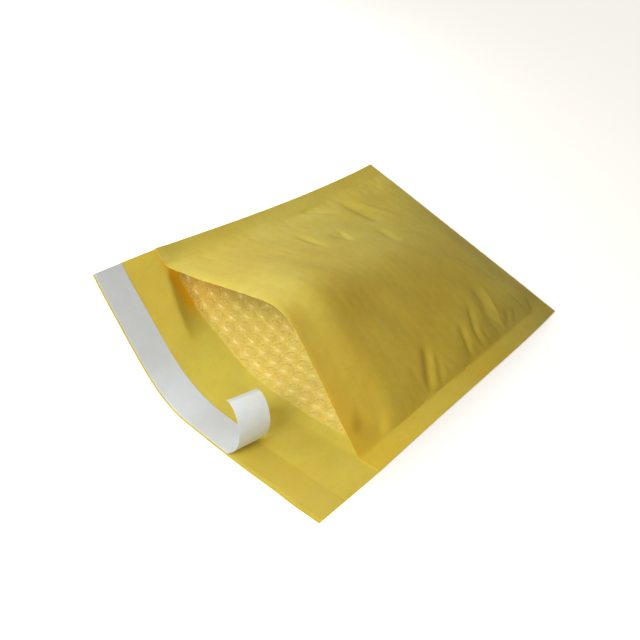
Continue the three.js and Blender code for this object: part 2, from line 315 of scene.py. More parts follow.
@dataclass(frozen=True)
class Wrinkles:
    """Creases of the front and back panels, and the short gathers beside the side seams.

    Attributes:
        seed: Start of the chance values. A range holds the least and the most of one.
        pucker_ends: Distances from the mouth and from the fold at which the gathers begin.
        pucker_spacing: Usual distance between two gathers.
        pucker_spread: Range of that distance, as a share of the usual one.
        pucker_reach: Range of how far one runs inwards.
        pucker_slant: Range of how far it leans along the seam.
        pucker_depth: Range of its depth at the fold.
        pucker_mouth_share: Share of that depth at the mouth.
        pucker_width: Range of its width.
        front_creases: Creases of the front panel.
        back_creases: Creases of the back panel.
    """

    seed: int = 7
    pucker_ends: Range = (26.0, 14.0)
    pucker_spacing: float = 11.0
    pucker_spread: Range = (0.6, 1.5)
    pucker_reach: Range = (9.0, 26.0)
    pucker_slant: Range = (-7.0, 7.0)
    pucker_depth: Range = (0.2, 0.7)
    pucker_mouth_share: float = 0.45
    pucker_width: Range = (1.6, 3.4)
    front_creases: tuple[Crease, ...] = (
        Crease((-103, 237), (-88, 252), 1.1, 2.4),
        Crease((-106, 220), (-96, 236), 1.2, 2.6),
        Crease((-97, 243), (-84, 257), -1.0, 3.5),
        Crease((-110, 147), (-78, 180), -2.2, 3.2, CreaseForm.CRISP),
        Crease((-92, 199), (-42, 204), -2.1, 6.5),
        Crease((-84, 208), (-42, 230), 1.3, 4.0),
        Crease((-39, 187), (-12, 182), -1.3, 5.0),
        Crease((-56, 149), (-37, 145), -1.2, 3.2),
        Crease((-73, 113), (-42, 114), -1.5, 3.8),
        Crease((-58, 138), (-38, 145), -1.0, 3.5),
        Crease((76, 99), (103, 74), -1.8, 4.0),
        Crease((84, 104), (104, 88), -0.9, 2.4),
        Crease((70, 176), (93, 150), -1.1, 2.6),
        Crease((79, 147), (99, 132), -1.1, 2.6),
        Crease((84, 160), (101, 147), -0.6, 2.0),
        Crease((58, 206), (96, 180), -1.6, 6.5),
        Crease((65, 214), (99, 190), 0.7, 2.0),
        Crease((90, 214), (103, 193), -0.9, 1.9),
        Crease((94, 224), (104, 206), -0.8, 1.7),
        Crease((92, 260), (105, 246), -0.7, 1.8),
        Crease((88, 8), (102, 30), -2.2, 7.0),
        Crease((84, 30), (100, 66), 0.9, 9.0),
    )
    back_creases: tuple[Crease, ...] = (
        Crease((-46, -11), (-107, 1), -0.9, 5.0, CreaseForm.CRISP, 3.0),
        Crease((-104, 58), (-80, 66), 0.8, 3.0),
        Crease((70, 120), (104, 108), 0.8, 3.0),
    )

    def puckers(self, cut: FlatCut, side: int, draw: Draw) -> list[Crease]:
        """Makes the short gathers where a padded panel meets a flat seam margin.

        Args:
            cut: Flat sizes.
            side: -1 for the far seam, 1 for the near one.
            draw: Source of the chance differences between them.

        Returns:
            Grooves that start at the margin and run inwards.
        """
        found = []
        t, before_fold = self.pucker_ends
        while t < cut.pocket_length - before_fold:
            reach = draw.uniform(*self.pucker_reach)
            slant = draw.uniform(*self.pucker_slant)
            share = lerp(self.pucker_mouth_share, 1, t / cut.pocket_length)
            depth = draw.uniform(*self.pucker_depth) * share
            start = (side * (cut.inner_half + 1), t)
            end = (side * (cut.inner_half - reach), t + slant)
            found.append(Crease(start, end, -depth, draw.uniform(*self.pucker_width)))
            t += self.pucker_spacing * draw.uniform(*self.pucker_spread)
        return found


@dataclass(frozen=True)
class Padding:
    """Soft shapes that the padding gives the paper over it.

    The belly is the front panel's crown behind the mouth. The shoulder rounds that panel beside the near
    seam, and far_round its turn off the far one. The lip is its rolled free edge, and the corner the far
    end of that edge. The wall is the back panel's drop behind the crease from the far seam to the flap.
    Lumps are uneven padding, and the print is that of the bubbles. A fade is a distance, or the two
    places, over which a shape sets in or dies out.
    """

    belly_height: float = 3.0
    belly_at: float = 42.0
    belly_width: float = 34.0
    belly_fade: float = 30.0
    shoulder_height: float = 2.6
    shoulder_width: float = 6.0
    shoulder_across_fade: Range = (-80.0, 0.0)
    shoulder_mouth_fade: float = 40.0
    shoulder_fold_fade: float = 30.0
    far_round_width: float = 12.0
    lip_drop_far: float = 1.3
    lip_width_far: float = 9.0
    lip_drop_near: float = 0.5
    lip_width_near: float = 2.4
    lip_change: Range = (-20.0, 25.0)
    lip_fade: float = 0.25
    corner_lift: float = 1.3
    corner_lift_length: float = 11.0
    corner_fade: Range = (-4.0, 3.0)
    wall_depth: float = 6.6
    wall_width: float = 25.0
    wall_roundness: float = 1.5
    wall_crease_s: tuple[float, ...] = (-107.0, -74.0, -46.0, -30.0)
    wall_crease_t: tuple[float, ...] = (1.0, -8.0, -11.0, -11.0)
    wall_far_fade: Range = (-106.0, -94.0)
    wall_near_fade: Range = (-68.0, -38.0)
    wall_end_fade: Range = (50.0, 130.0)
    lump_height: float = 0.4
    lump_waves: int = 7
    lump_lengths: Range = (28.0, 70.0)
    lump_mouth_fade: Range = (-10.0, 60.0)
    lump_fold_fade: float = 25.0
    seam_fade: float = 4.0
    print_height: float = 0.1
    print_fade: Range = (6.0, 16.0)


@dataclass(frozen=True)
class BubbleSizes:
    """Sizes of the bubble film's bubbles, the common small kind."""

    diameter: float = 10.0
    pitch: float = 12.3
    height: float = 3.2
    sides: int = 18

    @property
    def row_pitch(self) -> float:
        """Distance between the staggered rows."""
        return self.pitch * math.sqrt(3) / 2


class Sheet:
    """The folded sheet of the envelope: flap, back panel, fold and front panel in one grid of points.

    Attributes:
        s: Distances across the cut, one per column.
        v: Distances along the cut, one per row.
        points: Middle surface of the paper.
        normals: Its normals, towards the inside of the pocket.
        lined_points: The same surface without its fine creases, which the stiffer film bridges.
        lined_normals: Normals of that surface.
    """

    grid_step = 2.0
    fold_steps = 10
    most_turn = math.pi * 0.8
    turn_rounds = 40
    lining_reach = 4

    def __init__(self, cut: FlatCut, bend: Bend) -> None:
        """Bends the smooth sheet.

        Args:
            cut: Flat sizes.
            bend: How it lies.
        """
        self.cut, self.bend = cut, bend
        edges = [-cut.half_width, -cut.inner_half, cut.inner_half, cut.half_width]
        self.s = stations(edges, self.grid_step)
        self.t = stations([-cut.flap_length, 0, cut.pocket_length], self.grid_step)
        self.mouth_row = int(np.searchsorted(self.t, 0.0))
        self.far_seam = int(np.searchsorted(self.s, -cut.inner_half - ROUNDING))
        back = self._back_leaf()
        front = self._front_leaf(back[self.mouth_row :])
        fold, fold_v = self._fold(back[-1], front[-1])
        front_v = cut.front(self.t[self.mouth_row :])
        self.v = np.concatenate([self.t, fold_v, front_v[::-1]])
        self.points = np.concatenate([back, fold, front[::-1]])
        self.normals = grid_normals(self.points)
        self.gap = np.linalg.norm(front - back[self.mouth_row :], axis=-1)

    def _trough_rows(self) -> Trough:
        """Works out the trough of each row.

        Returns:
            The trough, with each of its values as a column.
        """
        mouth, flap, bend = self.bend.mouth, self.bend.flap, self.bend
        t = self.t[:, None]
        on_flap = np.clip(-t / self.cut.flap_length, 0, 1)
        opened = np.minimum(1 - t / self.cut.pocket_length, 1)
        names = Trough.__annotations__
        rows = {name: lerp(getattr(mouth, name), getattr(flap, name), on_flap) for name in names}
        for key, opening in (("far_slope", bend.far_opening), ("near_slope", bend.near_opening)):
            rows[key] = rows[key] * opened * lerp(opened, 1, opening)
        return Trough(**rows)

    def _spread_along(self, x: Array, z: Array, t: Array) -> Array:
        """Spaces the rows so that distances along the sheet stay as they were cut.

        Args:
            x: The grid's x.
            z: Its z.
            t: Flat place of each row.

        Returns:
            The grid's y.
        """
        panel = self.cut.panel_length(self.s)
        y = np.zeros_like(x)
        y[-1] = panel
        for row in range(len(t) - 2, -1, -1):
            stretch = 1 if t[row] < 0 else panel / self.cut.pocket_length
            step = (t[row + 1] - t[row]) * stretch
            run = step**2 - (x[row + 1] - x[row]) ** 2 - (z[row + 1] - z[row]) ** 2
            y[row] = y[row + 1] - np.sqrt(np.maximum(run, 0))
        return y

    def _back_leaf(self) -> Array:
        """Bends the flap and back panel.

        Returns:
            Their points.
        """
        cut, bend = self.cut, self.bend
        trough = self._trough_rows()
        turned = smoothstep(self.s, trough.at - trough.half_width, trough.at + trough.half_width)
        slopes = lerp(-trough.far_slope, trough.near_slope, turned)
        x, z = trace(self.s, slopes)
        opened = (1 - self.t / cut.pocket_length)[:, None]
        closed = np.clip(self.t / cut.pocket_length, 0, 1)[:, None]
        at_trough = np.array([np.interp(bend.mouth.at, self.s, row) for row in x])[:, None]
        x = x + bend.mouth.at + bend.mouth_shift_x * opened - at_trough
        z = np.maximum(z - z.min(axis=1, keepdims=True) - bend.floor_sag * closed, 0)
        z = z + cut.swell * closed * (1 - cut.padded_share(self.s))
        y = self._spread_along(x, z, self.t)
        y = y + bend.mouth_skew * (self.s / cut.half_width) * opened
        self.back_slopes = slopes[self.mouth_row :]
        return np.stack([x, y, z], axis=-1)

    def _front_leaf(self, back: Array) -> Array:
        """Bends the front panel: flat over the back one on the margins, and between them a tent.

        Args:
            back: Points of the back panel.

        Returns:
            Points of the front panel.
        """
        cut, bend = self.cut, self.bend
        t = self.t[self.mouth_row :]
        closed = (t / cut.pocket_length)[:, None]
        x = back[..., 0] - np.sin(self.back_slopes) * cut.seam_spacing
        z = back[..., 2] + np.cos(self.back_slopes) * cut.seam_spacing
        first, last = self.far_seam, len(self.s) - 1 - self.far_seam
        inner = slice(first, last + 1)
        span = self.s[inner]
        ridge, half = bend.ridge_at, bend.ridge_half_width
        turned = smoothstep(span, ridge - half, ridge + half)
        chord_x, chord_z = x[:, last] - x[:, first], z[:, last] - z[:, first]
        low, high = np.zeros((len(t), 1)), np.full((len(t), 1), self.most_turn)
        for _ in range(self.turn_rounds):
            turn = (low + high) / 2
            tent_x, tent_z = trace(span, -turn * turned)
            too_long = (np.hypot(tent_x[:, -1], tent_z[:, -1]) > np.hypot(chord_x, chord_z))[:, None]
            low, high = np.where(too_long, turn, low), np.where(too_long, high, turn)
        tent_x, tent_z = trace(span, -low * turned)
        lift = (np.arctan2(chord_z, chord_x) - np.arctan2(tent_z[:, -1], tent_x[:, -1]))[:, None]
        swell = cut.swell * closed * cut.padded_share(span)
        start_x, start_z = x[:, first : first + 1], z[:, first : first + 1]
        x[:, inner] = start_x + tent_x * np.cos(lift) - tent_z * np.sin(lift)
        z[:, inner] = start_z + tent_x * np.sin(lift) + tent_z * np.cos(lift) + swell
        y = self._spread_along(x, z, t)
        share = np.linspace(0, 1, last - first + 1)
        far_gap = (back[:, first, 1] - y[:, first])[:, None]
        near_gap = (back[:, last, 1] - y[:, last])[:, None]
        setback = bend.front_setback * np.sin(math.pi * share) * (1 - closed)
        y[:, inner] += lerp(far_gap, near_gap, share) + setback
        y[:, : first + 1] = back[:, : first + 1, 1]
        y[:, last:] = back[:, last:, 1]
        return np.stack([x, y, z], axis=-1)

    def _fold(self, back_end: Array, front_end: Array) -> tuple[Array, Array]:
        """Bends the paper round at the closed end.

        Args:
            back_end: Last row of the back panel.
            front_end: Last row of the front panel.

        Returns:
            The points of the rows between them, and their v.
        """
        centre = (back_end + front_end) / 2
        radius = centre[:, 2] - back_end[:, 2]
        shares = np.arange(1, self.fold_steps) / self.fold_steps
        rows = np.repeat(centre[None], len(shares), axis=0)
        rows[..., 1] += radius * np.sin(math.pi * shares)[:, None]
        rows[..., 2] -= radius * np.cos(math.pi * shares)[:, None]
        return rows, self.cut.pocket_length + self.cut.fold_length * shares

    def move_to(self, lowest: Vector, highest: Vector) -> None:
        """Moves the sheet so that its box stands where the construction model's paper stands.

        Args:
            lowest: Lowest corner of that paper, in metres.
            highest: Its highest corner, in metres.
        """
        low, high = self.points.min(axis=(0, 1)), self.points.max(axis=(0, 1))
        shift = np.array((lowest + highest) / 2) / MM - (low + high) / 2
        shift[2] = lowest.z / MM - low[2] + self.cut.paper_thickness / 2
        self.points = self.points + shift

    def wrinkle(self, wrinkles: Wrinkles, padding: Padding, bubbles: BubbleSizes) -> None:
        """Presses the creases, puckers and soft shapes into the sheet.

        Args:
            wrinkles: Creases and puckers.
            padding: Soft shapes over the padding.
            bubbles: Bubbles whose rows print through the paper.
        """
        cut = self.cut
        draw = np.random.default_rng(wrinkles.seed)
        on_front = self.v >= cut.pocket_length + cut.fold_length - ROUNDING
        on_back = self.v <= cut.pocket_length + ROUNDING
        front = np.meshgrid(self.s, cut.front(self.v[on_front]))
        back = np.meshgrid(self.s, self.v[on_back])
        fine, broad = np.zeros((2, *self.points.shape[:2]))
        for rows, (s, t), creases in (
            (on_front, front, wrinkles.front_creases),
            (on_back, back, wrinkles.back_creases),
        ):
            made = [*creases, *wrinkles.puckers(cut, -1, draw), *wrinkles.puckers(cut, 1, draw)]
            to_fold = smoothstep(cut.pocket_length - t, 0, padding.lump_fold_fade)
            lumps = self._lumps(s, t, padding, draw) * smoothstep(t, *padding.lump_mouth_fade) * to_fold
            fine[rows] = sum(crease.raise_paper(s, t) for crease in made) + padding.lump_height * lumps
        near = cut.inner_half - np.abs(self.s)[None, :]
        inside = smoothstep(near, 0, padding.seam_fade)
        fine *= inside
        broad[on_back] = self._far_wall(*back, padding) * inside
        broad[on_front] = self._front_shapes(*front, padding)
        printed = self._bubble_print(bubbles) * smoothstep(near, *padding.print_fade)
        printed *= padding.print_height * (self.v[:, None] > cut.film_mouth_inset)
        lined = self._pressed(broad + np.minimum(self._lowest_near(fine), 0))
        self.points, self.normals = self._pressed(broad + fine + printed)
        self.lined_points, self.lined_normals = lined

    def _pressed(self, height: Array) -> tuple[Array, Array]:
        """Moves the sheet outwards, but not into the floor.

        Args:
            height: Distance outwards for each row and column.

        Returns:
            The moved points, and their normals.
        """
        points = self.points - self.normals * height[..., None]
        points[..., 2] = np.maximum(points[..., 2], self.points[..., 2].min())
        return points, grid_normals(points)

    def _lowest_near(self, values: Array) -> Array:
        """Finds how low a bubble lies that spans a dent.

        Args:
            values: Height for each row and column.

        Returns:
            The lowest value within a few rows and columns of each place.
        """
        wide = np.pad(values, self.lining_reach, mode="edge")
        window = (2 * self.lining_reach + 1,) * 2
        return np.lib.stride_tricks.sliding_window_view(wide, window).min(axis=(-2, -1))

    def _front_shapes(self, s: Array, t: Array, padding: Padding) -> Array:
        """Works out the front panel's broad shapes.

        Args:
            s: Distances across the cut.
            t: Distances along the front panel.
            padding: Sizes of the belly, the turns at the seams, the lip and the far corner.

        Returns:
            Height outwards at each place.
        """
        cut = self.cut
        side = np.sin(math.pi * smoothstep(s, -cut.inner_half, cut.inner_half))
        belly = np.exp(-(((t - padding.belly_at) / padding.belly_width) ** 2))
        raised = padding.belly_height * belly * smoothstep(t, 0, padding.belly_fade) * side
        inside = np.maximum(cut.inner_half - s, 0)
        share = smoothstep(t, 0, padding.shoulder_mouth_fade) * smoothstep(s, *padding.shoulder_across_fade)
        share *= smoothstep(cut.pocket_length - t, 0, padding.shoulder_fold_fade)
        raised += padding.shoulder_height * (1 - np.exp(-inside / padding.shoulder_width)) * share
        beside = np.maximum(1 - np.abs(s + cut.inner_half) / padding.far_round_width, 0)
        raised += self._far_turn(t.shape[0]) * padding.far_round_width / 4 * beside**2
        nearer = smoothstep(s, *padding.lip_change)
        lip_width = lerp(padding.lip_width_far, padding.lip_width_near, nearer)
        lip_drop = lerp(padding.lip_drop_far, padding.lip_drop_near, nearer)
        raised -= lip_drop * np.maximum(1 - t / lip_width, 0) ** 2 * smoothstep(side, 0, padding.lip_fade)
        corner = smoothstep(-s - cut.inner_half, *padding.corner_fade)
        return raised + padding.corner_lift * corner * np.exp(-((t / padding.corner_lift_length) ** 2))

    def _far_turn(self, rows: int) -> Array:
        """Measures the angle by which the front panel rises off its far margin.

        Args:
            rows: How many rows the front panel has.

        Returns:
            The angle for each of them, as a column.
        """
        seam, front = self.far_seam, self.points[-rows:]
        margin = front[:, seam] - front[:, seam - 1]
        panel = front[:, seam + 1] - front[:, seam]
        turns = np.arctan2(panel[:, 2], panel[:, 0]) - np.arctan2(margin[:, 2], margin[:, 0])
        return np.maximum(turns, 0)[:, None]

    def _far_wall(self, s: Array, t: Array, padding: Padding) -> Array:
        """Works out how far the back panel drops behind the crease from the far seam to the flap.

        Args:
            s: Distances across the cut.
            t: Distances along the back panel.
            padding: Place, depth and width of the drop.

        Returns:
            Drop at each place.
        """
        crease_t = np.interp(s, padding.wall_crease_s, padding.wall_crease_t)
        behind = np.clip((t - crease_t) / padding.wall_width, 0, 1)
        fade = smoothstep(s, *padding.wall_far_fade) * (1 - smoothstep(s, *padding.wall_near_fade))
        fade *= 1 - smoothstep(t, *padding.wall_end_fade)
        return padding.wall_depth * (1 - (1 - behind) ** padding.wall_roundness) * fade

    def _lumps(self, s: Array, t: Array, padding: Padding, draw: Draw) -> Array:
        """Makes soft unevenness out of a few waves that cross each other.

        Args:
            s: Distances across the cut.
            t: Distances along the panel.
            padding: Number and lengths of the waves.
            draw: Source of their directions.

        Returns:
            Heights that mostly lie between -1 and 1.
        """
        lumps = np.zeros_like(s)
        for _ in range(padding.lump_waves):
            length = draw.uniform(*padding.lump_lengths)
            angle = draw.uniform(0, math.pi)
            phase = draw.uniform(0, 2 * math.pi)
            lumps += np.sin((s * math.cos(angle) + t * math.sin(angle)) * 2 * math.pi / length + phase)
        return lumps / math.sqrt(padding.lump_waves)

    def _bubble_print(self, bubbles: BubbleSizes) -> Array:
        """Draws the faint pattern of the bubble rows.

        Args:
            bubbles: The film's bubbles.

        Returns:
            Heights from -1 to 1 over the whole sheet.
        """
        s, v = np.meshgrid(self.s, self.v - self.cut.film_mouth_inset)
        rows, columns = math.pi * v / bubbles.row_pitch, 2 * math.pi * s / bubbles.pitch
        return (np.cos(columns) * np.cos(rows) + np.cos(2 * rows) / 2) / 1.5

    def _below(self, rising: Array, value: Array) -> tuple[Array, Array]:
        """Finds where a value lies in a rising list.

        Args:
            rising: The list.
            value: Values to find.

        Returns:
            Number of the entry below each value, and the share of the way to the next.
        """
        low = np.clip(np.searchsorted(rising, value, side="right") - 1, 0, len(rising) - 2)
        share = (value - rising[low]) / (rising[low + 1] - rising[low])
        return low, np.clip(share, 0, 1)

    def read(self, values: Array, s: Array, along: Array, rows: Array | None = None) -> Array:
        """Reads a value that is stored for each row and column at any place.

        Args:
            values: Numbers or points for each row and column.
            s: Distances across the cut.
            along: Distances along it.
            rows: Distance along it of each row, if the rows aren't those of the whole sheet.

        Returns:
            The value at each place.
        """
        column, across = self._below(self.s, np.asarray(s, float))
        row, share = self._below(self.v if rows is None else rows, np.asarray(along, float))
        if values.ndim == 3:
            across, share = across[..., None], share[..., None]
        low = lerp(values[row, column], values[row, column + 1], across)
        high = lerp(values[row + 1, column], values[row + 1, column + 1], across)
        return lerp(low, high, share)

    def place(self, s: Array, v: Array, inward: Value, lined: bool = False) -> Array:
        """Finds the points that lie inward of the paper's middle.

        Args:
            s: Distances across the cut.
            v: Distances along it.
            inward: Distances towards the inside of the pocket.
            lined: Whether they are on the lining, which bridges the fine creases.

        Returns:
            The point at each place.
        """
        s, v = np.broadcast_arrays(s, v)
        points, normals = (self.lined_points, self.lined_normals) if lined else (self.points, self.normals)
        normals = unit(self.read(normals, s, v))
        return self.read(points, s, v) + normals * np.broadcast_to(inward, s.shape)[..., None]

    def room(self, s: Array, v: Array) -> Array:
        """Measures the pocket.

        Args:
            s: Distances across the cut.
            v: Distances along it.

        Returns:
            Half the space between the two panels at each place.
        """
        cut = self.cut
        on_front = v > cut.pocket_length + cut.fold_length / 2
        t = np.clip(np.where(on_front, cut.front(v), v), 0, cut.pocket_length)
        return self.read(self.gap, s, t, self.t[self.mouth_row :]) / 2


def set_inputs(tree: Tree, node: Node, inputs: Inputs) -> None:
    """Sets and links the inputs of a node.

    Args:
        tree: Tree that the node is in.
        node: The node.
        inputs: What goes into each socket, by its name or number: a value, a socket to link from, or a
            node whose first output it is linked from.
    """
    for name, value in inputs.items():
        source = value.outputs[0] if isinstance(value, Node) else value
        if isinstance(source, bpy.types.NodeSocket):
            tree.links.new(source, node.inputs[name])
        else:
            node.inputs[name].default_value = source


def add_node(tree: Tree, kind: str, inputs: Inputs | None = None, **settings: object) -> Node:
    """Adds one node with its settings, values and links.

    Args:
        tree: Tree that gets the node.
        kind: Blender's name of the node, without ShaderNode.
        inputs: What goes into its sockets, as in set_inputs.
        settings: The node's own settings.

    Returns:
        The new node.
    """
    node = tree.nodes.new(f"ShaderNode{kind}")
    for name, value in settings.items():
        setattr(node, name, value)
    set_inputs(tree, node, inputs or {})
    return node


def per_metre(size_mm: float) -> float:
    """Returns the texture scale that gives features of a size in millimetres."""
    return 1000 / size_mm


class Finish:
    """A finish of the object, with what every finish needs to become a material."""

    name: str

    def material(self) -> bpy.types.Material:
        """Makes the finish's material.

        Returns:
            The material with all its nodes.
        """
        made = bpy.data.materials.new(self.name)
        made.use_nodes = True
        tree = made.node_tree
        flat = add_node(tree, "UVMap", uv_map=FLAT_MAP)
        self.dress(tree, tree.nodes["Principled BSDF"], flat)
        return made

    def dress(self, tree: Tree, shader: Node, flat: Node) -> None:
        """Sets the shader and adds the patterns. Each finish has its own.

        Args:
            tree: The material's nodes.
            shader: Its Principled shader.
            flat: Place on the flat cut, in metres.
        """
        raise NotImplementedError


@dataclass(frozen=True)
class KraftPaper(Finish):
    """Bleached kraft paper, dyed through in golden yellow and machine glazed on the outside.

    Long fibres lie along the cut and give faint streaks. The dye takes unevenly, so the tone drifts at
    random between a greener and a warmer yellow. It is matt, with a weak broad shine on the glazed side, and
    the unglazed side is deeper in tone. On one patch of each side the warmer yellow is painted shade: the
    deep gold of the front panel's near half, which faces away from the lamps, and of the far wall inside
    the mouth, which lies in shade.

    Attributes:
        pale: The greener yellow.
        warm: The warmer yellow, where the tone drifts at random and where shade is painted.
        shade: Tone of the clouds and streaks.
        warm_drift: Most that the tone drifts towards the warm one anywhere.
        painted_shade_share: Most of the warmer yellow in the painted shade patch.
        painted_shade_across: Flat places across, in metres, between which the painted shade patch sets in.
        painted_shade_along: Flat places along, in metres, between which the painted shade patch sets in.
        cloud_share: Most of the shade in a cloud.
        fibre_share: Most of the shade in a streak.
        glow: Share of the light that comes through the sheet.
        glow_reach: How much further red and green light spread in it than blue.
        glow_scale: That reach, in millimetres.
    """

    name: str = "machine_glazed_kraft_paper"
    pale: str = "#e0d266"
    warm: str = "#e0c244"
    shade: str = "#c9ad3e"
    warm_drift: float = 0.4
    painted_shade_share: float = 0.6
    painted_shade_across: Range = (-0.02, 0.07)
    painted_shade_along: Range = (0.31, 0.43)
    drift_mm: float = 130.0
    cloud_mm: float = 22.0
    cloud_share: float = 0.32
    fibre_length_mm: float = 7.0
    fibre_width_mm: float = 1.1
    fibre_depth_mm: float = 0.06
    fibre_share: float = 0.3
    cockle_mm: float = 6.5
    cockle_depth_mm: float = 0.35
    roughness: float = 0.62
    glow: float = 0.8
    glow_reach: tuple[float, float, float] = (1.0, 0.75, 0.15)
    glow_scale: float = 0.5

    def dress(self, tree: Tree, shader: Node, flat: Node) -> None:
        """Sets the shader and adds the tone, fibres and cockle.

        Args:
            tree: The material's nodes.
            shader: Its Principled shader.
            flat: Place on the flat cut, in metres.
        """
        # Real fibres are 2 mm long and 0.03 mm wide. They are drawn coarser, or none would show.
        stretch = self.fibre_width_mm / self.fibre_length_mm
        lengthwise = add_node(tree, "Mapping", {"Vector": flat, "Scale": (1.0, stretch, 1.0)})
        drift, cloud, fibre, cockle = (
            add_node(
                tree,
                "TexNoise",
                {"Vector": vector, "Scale": per_metre(size), "Detail": detail, "Roughness": rough},
            )
            for vector, size, detail, rough in (
                (flat, self.drift_mm, 2.0, 0.4),
                (flat, self.cloud_mm, 5.0, 0.6),
                (lengthwise, self.fibre_width_mm, 4.0, 0.65),
                (flat, self.cockle_mm, 3.0, 0.5),
            )
        )
        # Painted shade: the warmer yellow is laid on one patch of each side, the front panel's near half
        # that faces away from the lamps and the far wall inside the mouth that lies in shade. The rest of it
        # drifts at random
        place = add_node(tree, "SeparateXYZ", {"Vector": flat})
        across, along, drifted = (
            add_node(
                tree,
                "MapRange",
                {"Value": value, "From Min": low, "From Max": high, "To Max": most},
                interpolation_type="SMOOTHSTEP",
            )
            for value, (low, high), most in (
                (place.outputs["X"], self.painted_shade_across, self.painted_shade_share),
                (place.outputs["Y"], self.painted_shade_along, 1.0),
                (drift, (0.38, 0.62), self.warm_drift),
            )
        )
        drift_and_painted_shade = add_node(tree, "Math", {0: across, 1: along, 2: drifted}, operation="MULTIPLY_ADD")
        mixed = {MIX_SHARE: drift_and_painted_shade, MIX_A: linear(self.pale), MIX_B: linear(self.warm)}
        tone = add_node(tree, "Mix", mixed, data_type="RGBA")
        clouds, streaks = (cloud, 0.35, 0.75, self.cloud_share), (fibre, 0.5, 0.8, self.fibre_share)
        for noise, low, high, most in (clouds, streaks):
            span = {"Value": noise, "From Min": low, "From Max": high, "To Max": most}
            share = add_node(tree, "MapRange", span)
            mixed = {MIX_SHARE: share, MIX_A: tone.outputs[MIX_RESULT], MIX_B: linear(self.shade)}
            tone = add_node(tree, "Mix", mixed, data_type="RGBA")
        gloss = {"Value": fibre, "To Min": self.roughness - 0.08, "To Max": self.roughness + 0.1}
        relief = {"Height": cockle, "Strength": 0.5, "Distance": self.cockle_depth_mm * MM}
        cockled = add_node(tree, "Bump", relief)
        relief = {"Height": fibre, "Strength": 0.4, "Distance": self.fibre_depth_mm * MM, "Normal": cockled}
        # Light comes through the sheet, so shaded panels glow in a deeper gold
        set_inputs(
            tree,
            shader,
            {
                "Base Color": tone.outputs[MIX_RESULT],
                "Roughness": add_node(tree, "MapRange", gloss),
                "Normal": add_node(tree, "Bump", relief),
                "Specular IOR Level": 0.15,
                "Subsurface Weight": self.glow,
                "Subsurface Radius": self.glow_reach,
                "Subsurface Scale": self.glow_scale * MM,
            },
        )


@dataclass(frozen=True)
class BubbleFilm(Finish):
    """Clear polyethylene bubble film, vacuum formed over a cylinder.

    The film is thin and glossy, so lamps glint on each bubble's rim and top, and it looks milky where
    the eye meets it at a low angle. The paper's yellow shows through it. Two films have four faces that
    reflect, and they are drawn as one face with a higher refractive index.
    """

    name: str = "polyethylene_bubble_film"
    colour: str = "#f4e088"
    facing_alpha: float = 0.26
    edge_alpha: float = 0.3
    roughness: float = 0.26
    refraction: float = 2.4
    crinkle_mm: float = 6.0
    crinkle_depth_mm: float = 0.4

    def dress(self, tree: Tree, shader: Node, flat: Node) -> None:
        """Sets the shader, its milky edges and the fine crinkle of the film.

        Args:
            tree: The material's nodes.
            shader: Its Principled shader.
            flat: Place on the flat cut, in metres.
        """
        edge = add_node(tree, "LayerWeight", {"Blend": 0.42}).outputs["Facing"]
        milk = {"Value": edge, "To Min": self.facing_alpha, "To Max": self.edge_alpha}
        noise = {"Vector": flat, "Scale": per_metre(self.crinkle_mm), "Detail": 3.0, "Distortion": 1.5}
        crinkle = add_node(tree, "TexNoise", noise)
        relief = {"Height": crinkle, "Strength": 0.18, "Distance": self.crinkle_depth_mm * MM}
        set_inputs(
            tree,
            shader,
            {
                "Base Color": linear(self.colour),
                "Roughness": self.roughness,
                "IOR": self.refraction,
                "Alpha": add_node(tree, "MapRange", milk),
                "Normal": add_node(tree, "Bump", relief),
            },
        )


@dataclass(frozen=True)
class HotMelt(Finish):
    """Ethylene vinyl acetate hot melt, laid as a bead and pressed flat: amber, smooth and waxy."""

    name: str = "amber_hot_melt"
    colour: str = "#d8b964"
    roughness: float = 0.3
    refraction: float = 1.48
    ripple_mm: float = 3.0
    ripple_depth_mm: float = 0.1

    def dress(self, tree: Tree, shader: Node, flat: Node) -> None:
        """Sets the shader and the ripples of the pressed bead.

        Args:
            tree: The material's nodes.
            shader: Its Principled shader.
            flat: Place on the flat cut, in metres.
        """
        noise = {"Vector": flat, "Scale": per_metre(self.ripple_mm), "Detail": 2.0}
        ripple = add_node(tree, "TexNoise", noise)
        relief = {"Height": ripple, "Strength": 0.5, "Distance": self.ripple_depth_mm * MM}
        set_inputs(
            tree,
            shader,
            {
                "Base Color": linear(self.colour),
                "Roughness": self.roughness,
                "IOR": self.refraction,
                "Normal": add_node(tree, "Bump", relief),
            },
        )


@dataclass(frozen=True)
class ClearAdhesive(Finish):
    """Clear pressure-sensitive adhesive on the flap: a wet-looking film that barely tints the paper."""

    name: str = "clear_flap_adhesive"
    colour: str = "#c9b54a"
    alpha: float = 0.06
    roughness: float = 0.22
    refraction: float = 1.47
    drag_mm: float = 2.5
    drag_depth_mm: float = 0.08

    def dress(self, tree: Tree, shader: Node, flat: Node) -> None:
        """Sets the shader and the drag lines left when the liner was pulled off.

        Args:
            tree: The material's nodes.
            shader: Its Principled shader.
            flat: Place on the flat cut, in metres.
        """
        stretched = add_node(tree, "Mapping", {"Vector": flat, "Scale": (1.0, 0.25, 1.0)})
        noise = {"Vector": stretched, "Scale": per_metre(self.drag_mm), "Detail": 3.0}
        drag = add_node(tree, "TexNoise", noise)
        relief = {"Height": drag, "Strength": 0.5, "Distance": self.drag_depth_mm * MM}
        set_inputs(
            tree,
            shader,
            {
                "Base Color": linear(self.colour),
                "Roughness": self.roughness,
                "IOR": self.refraction,
                "Alpha": self.alpha,
                "Normal": add_node(tree, "Bump", relief),
            },
        )


